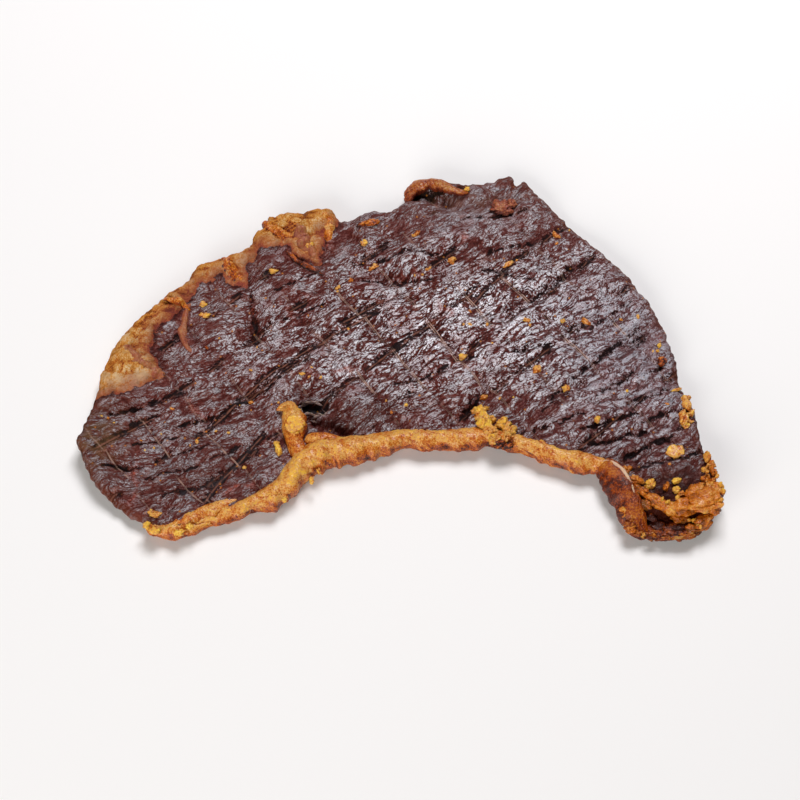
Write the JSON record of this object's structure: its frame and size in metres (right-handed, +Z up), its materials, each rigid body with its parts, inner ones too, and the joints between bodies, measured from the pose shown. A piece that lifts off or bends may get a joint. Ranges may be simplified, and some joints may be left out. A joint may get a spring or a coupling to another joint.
{
  "type": "beef jerky strip",
  "caption": "Crescent-shaped slice of dried beef: wrinkled dark lean meat with rims, folds and crumbs of yellow fat, lying flat.",
  "frame": {"origin": "on the surface that the slice lies on, below the middle of its outline", "axes": "+Z up, +X along the slice, and -Y towards the side with the open bay"},
  "size_m": [0.16, 0.1101, 0.0089],
  "materials": {
    "dried_meat": "dark dried lean beef with a waxy gloss and rims of yellow-brown fat"
  },
  "bodies": {
    "root": {"jerky_slab": "dried_meat"}
  },
  "joints": []
}
